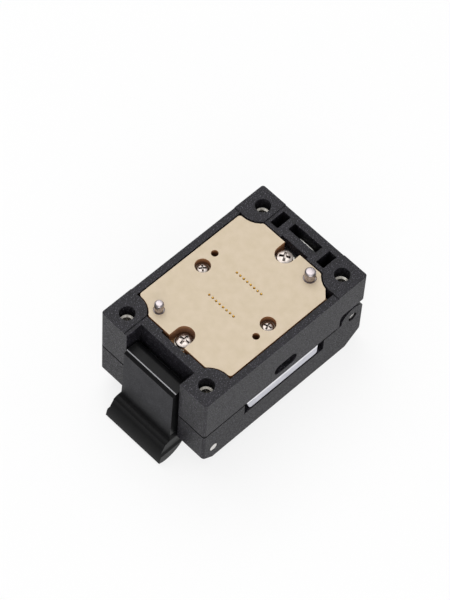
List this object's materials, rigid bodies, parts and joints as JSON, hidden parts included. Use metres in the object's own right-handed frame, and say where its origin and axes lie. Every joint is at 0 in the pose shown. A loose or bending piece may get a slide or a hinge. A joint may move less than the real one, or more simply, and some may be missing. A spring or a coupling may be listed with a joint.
{
  "type": "ic test socket",
  "caption": "Clamshell test socket for a small-outline package: moulded base and lid, sprung probe rows, latch, pressure plate, dowels and corner inserts.",
  "frame": {"origin": "middle of the sixteen board contacts, which is also the middle of the board screw pattern, in the plane of the four corner bosses that the board seats on", "axes": "+Z out of the contact side towards the board, +X from the latch end to the hinge end, +Y across the housing"},
  "size_m": [0.0647, 0.0384, 0.0362],
  "materials": {
    "base_moulding": "moulded glass-filled black plastic, satin",
    "lid_moulding": "moulded glass-filled black plastic, satin",
    "latch_moulding": "moulded black plastic, satin",
    "retainer_plastic": "machined beige engineering plastic",
    "block_plastic": "machined tan engineering plastic",
    "guide_plastic": "machined beige engineering plastic",
    "pusher_plastic": "machined black plastic",
    "insert_metal": "turned, nickel plated",
    "dowel_steel": "ground steel",
    "pin_steel": "ground steel",
    "screw_nickel": "nickel plated steel",
    "washer_nickel": "nickel plated steel",
    "probe_gold": "gold plated",
    "spring_steel": "drawn spring wire",
    "plate_aluminium": "milled aluminium"
  },
  "bodies": {
    "lid": {"lid_frame": "lid_moulding", "hinge_pin": "pin_steel", "latch_pin": "pin_steel", "latch_spring": "spring_steel", "pressure_springs": "spring_steel"},
    "base": {"base_frame": "base_moulding", "thread_inserts": "insert_metal", "board_dowels": "dowel_steel", "retainer_plate": "retainer_plastic", "retainer_screws": "screw_nickel", "probe_block": "block_plastic", "end_screws": "screw_nickel", "end_washers": "washer_nickel", "probe_barrels": "probe_gold", "probe_springs": "spring_steel", "guide_screws": "screw_nickel", "guide_springs": "spring_steel", "hinge_spring": "spring_steel"},
    "latch": {"latch": "latch_moulding"},
    "guide": {"guide_plate": "guide_plastic"},
    "pressure": {"pressure_plate": "plate_aluminium", "pusher": "pusher_plastic", "pusher_screws": "screw_nickel", "pressure_screws": "screw_nickel"},
    "board_tips": {"board_plungers": "probe_gold"},
    "package_tips": {"package_plungers": "probe_gold"}
  },
  "joints": [
    {"name": "clamshell_hinge", "type": "hinge", "parent": "lid", "child": "base", "pos_m": [0.025, 0, -0.0158], "axis": [0, 1, 0], "range_deg": [0, 95], "deforming": ["hinge_spring"]},
    {"name": "latch_pivot", "type": "hinge", "parent": "lid", "child": "latch", "pos_m": [-0.0252, 0, -0.0244], "axis": [0, -1, 0], "range_deg": [0, 14], "stiffness_Nm_per_rad": 0.02, "springref_deg": -17.19, "deforming": ["latch_spring"]},
    {"name": "guide_float", "type": "slide", "parent": "base", "child": "guide", "axis": [0, 0, 1], "range_m": [0, 0.0004], "stiffness_N_per_m": 2000, "springref_m": -0.001, "deforming": ["guide_springs"]},
    {"name": "pressure_float", "type": "slide", "parent": "lid", "child": "pressure", "axis": [0, 0, -1], "range_m": [0, 0.00035], "stiffness_N_per_m": 4000, "springref_m": -0.001, "deforming": ["pressure_springs"]},
    {"name": "board_tip_travel", "type": "slide", "parent": "base", "child": "board_tips", "axis": [0, 0, -1], "range_m": [0, 0.0003], "stiffness_N_per_m": 1500, "springref_m": -0.0005, "deforming": ["probe_springs"]},
    {"name": "package_tip_travel", "type": "slide", "parent": "base", "child": "package_tips", "axis": [0, 0, 1], "range_m": [0, 0.0003], "stiffness_N_per_m": 1500, "springref_m": -0.0005}
  ]
}
